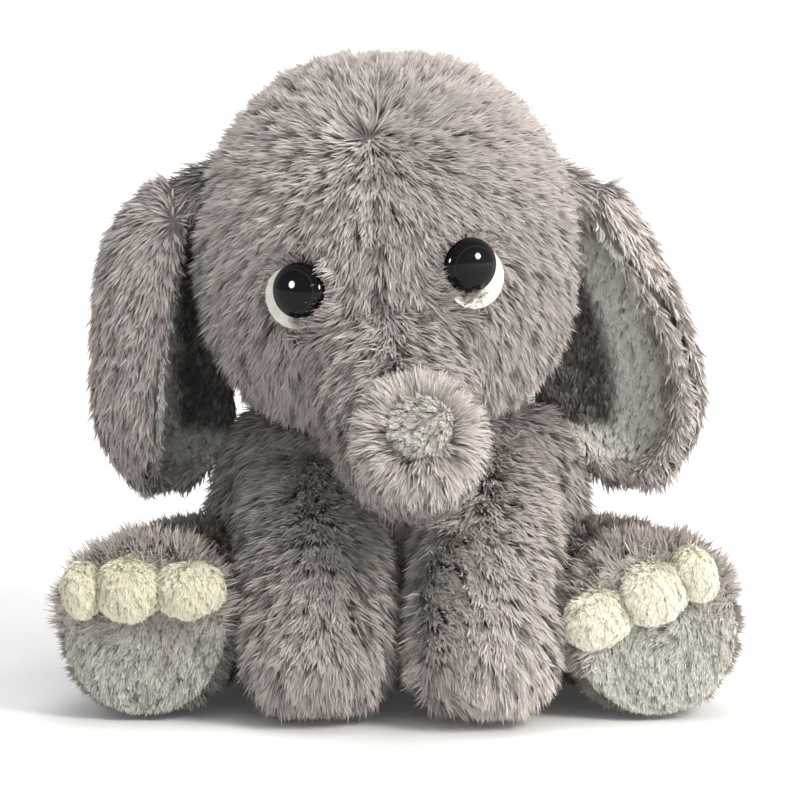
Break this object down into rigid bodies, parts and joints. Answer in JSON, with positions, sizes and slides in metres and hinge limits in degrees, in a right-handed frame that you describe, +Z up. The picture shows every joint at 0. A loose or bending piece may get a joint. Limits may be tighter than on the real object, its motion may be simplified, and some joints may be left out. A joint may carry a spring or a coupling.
{
  "type": "stuffed elephant",
  "caption": "Seated stuffed elephant in long-pile plush with floppy lined ears, a short trunk, glossy domed eyes and padded soles with toes.",
  "frame": {"origin": "on the seat's flat underside, on the toy's middle plane, at the level it sits on", "axes": "+Z up; the toy faces -Y; its own left side is at +X"},
  "size_m": [0.2622, 0.2323, 0.2535],
  "materials": {
    "plush_long_grey": "long-pile plush, matt with a soft sheen",
    "plush_short_silver": "short-pile plush",
    "plush_short_cream": "short-pile plush",
    "polyester_filling": "loose fibre filling",
    "pellet_bag_cloth": "plain woven bag",
    "eye_black": "glossy",
    "eye_felt": "pressed felt",
    "washer_plastic": "satin"
  },
  "bodies": {
    "body": {"body_skin": "plush_long_grey", "body_stuffing": "polyester_filling", "pellet_bag": "pellet_bag_cloth"},
    "head": {"head_skin": "plush_long_grey", "head_stuffing": "polyester_filling", "eye_left": "eye_black", "eye_white_left": "eye_felt", "eye_washer_left": "washer_plastic", "eye_right": "eye_black", "eye_white_right": "eye_felt", "eye_washer_right": "washer_plastic"},
    "trunk": {"trunk_skin": "plush_long_grey", "trunk_stuffing": "polyester_filling", "trunk_tip_patch": "plush_short_silver"},
    "tail": {"tail_skin": "plush_long_grey", "tail_tuft": "plush_long_grey"},
    "ear_left": {"ear_left_back": "plush_long_grey", "ear_left_lining": "plush_short_silver"},
    "front_leg_left": {"front_leg_left_skin": "plush_long_grey", "front_leg_left_stuffing": "polyester_filling"},
    "rear_leg_left": {"rear_leg_left_skin": "plush_long_grey", "rear_leg_left_stuffing": "polyester_filling", "rear_leg_left_sole": "plush_short_silver", "rear_leg_left_toe_1": "plush_short_cream", "rear_leg_left_toe_2": "plush_short_cream", "rear_leg_left_toe_3": "plush_short_cream"},
    "ear_right": {"ear_right_back": "plush_long_grey", "ear_right_lining": "plush_short_silver"},
    "front_leg_right": {"front_leg_right_skin": "plush_long_grey", "front_leg_right_stuffing": "polyester_filling"},
    "rear_leg_right": {"rear_leg_right_skin": "plush_long_grey", "rear_leg_right_stuffing": "polyester_filling", "rear_leg_right_sole": "plush_short_silver", "rear_leg_right_toe_1": "plush_short_cream", "rear_leg_right_toe_2": "plush_short_cream", "rear_leg_right_toe_3": "plush_short_cream"}
  },
  "joints": [
    {"name": "head_turn", "type": "hinge", "parent": "body", "child": "head", "pos_m": [-0.0055, -0.008, 0.1], "axis": [0, 0, 1], "range_deg": [-15, 15], "stiffness_Nm_per_rad": 0.25},
    {"name": "trunk_lift", "type": "hinge", "parent": "head", "child": "trunk", "pos_m": [-0.003, -0.063, 0.137], "axis": [-1, 0, 0], "range_deg": [0, 20]},
    {"name": "tail_lift", "type": "hinge", "parent": "body", "child": "tail", "pos_m": [0, 0.0765, 0.044], "axis": [1, 0, 0], "range_deg": [0, 45]},
    {"name": "ear_right_lift", "type": "hinge", "parent": "head", "child": "ear_right", "pos_m": [-0.084, 0, 0.198], "axis": [0, 1, 0], "range_deg": [0, 60]},
    {"name": "front_leg_right_swing", "type": "hinge", "parent": "body", "child": "front_leg_right", "pos_m": [-0.036, -0.031, 0.078], "axis": [-1, 0, 0], "range_deg": [0, 15]},
    {"name": "rear_leg_right_lift", "type": "hinge", "parent": "body", "child": "rear_leg_right", "pos_m": [-0.062, 0.012, 0.035], "axis": [-0.9327, 0.3606, 0], "range_deg": [0, 10]},
    {"name": "ear_left_lift", "type": "hinge", "parent": "head", "child": "ear_left", "pos_m": [0.073, 0, 0.198], "axis": [0, -1, 0], "range_deg": [0, 60]},
    {"name": "front_leg_left_swing", "type": "hinge", "parent": "body", "child": "front_leg_left", "pos_m": [0.036, -0.031, 0.08], "axis": [-1, 0, 0], "range_deg": [0, 15]},
    {"name": "rear_leg_left_lift", "type": "hinge", "parent": "body", "child": "rear_leg_left", "pos_m": [0.062, 0.012, 0.035], "axis": [-0.9327, -0.3606, 0], "range_deg": [0, 10]}
  ]
}
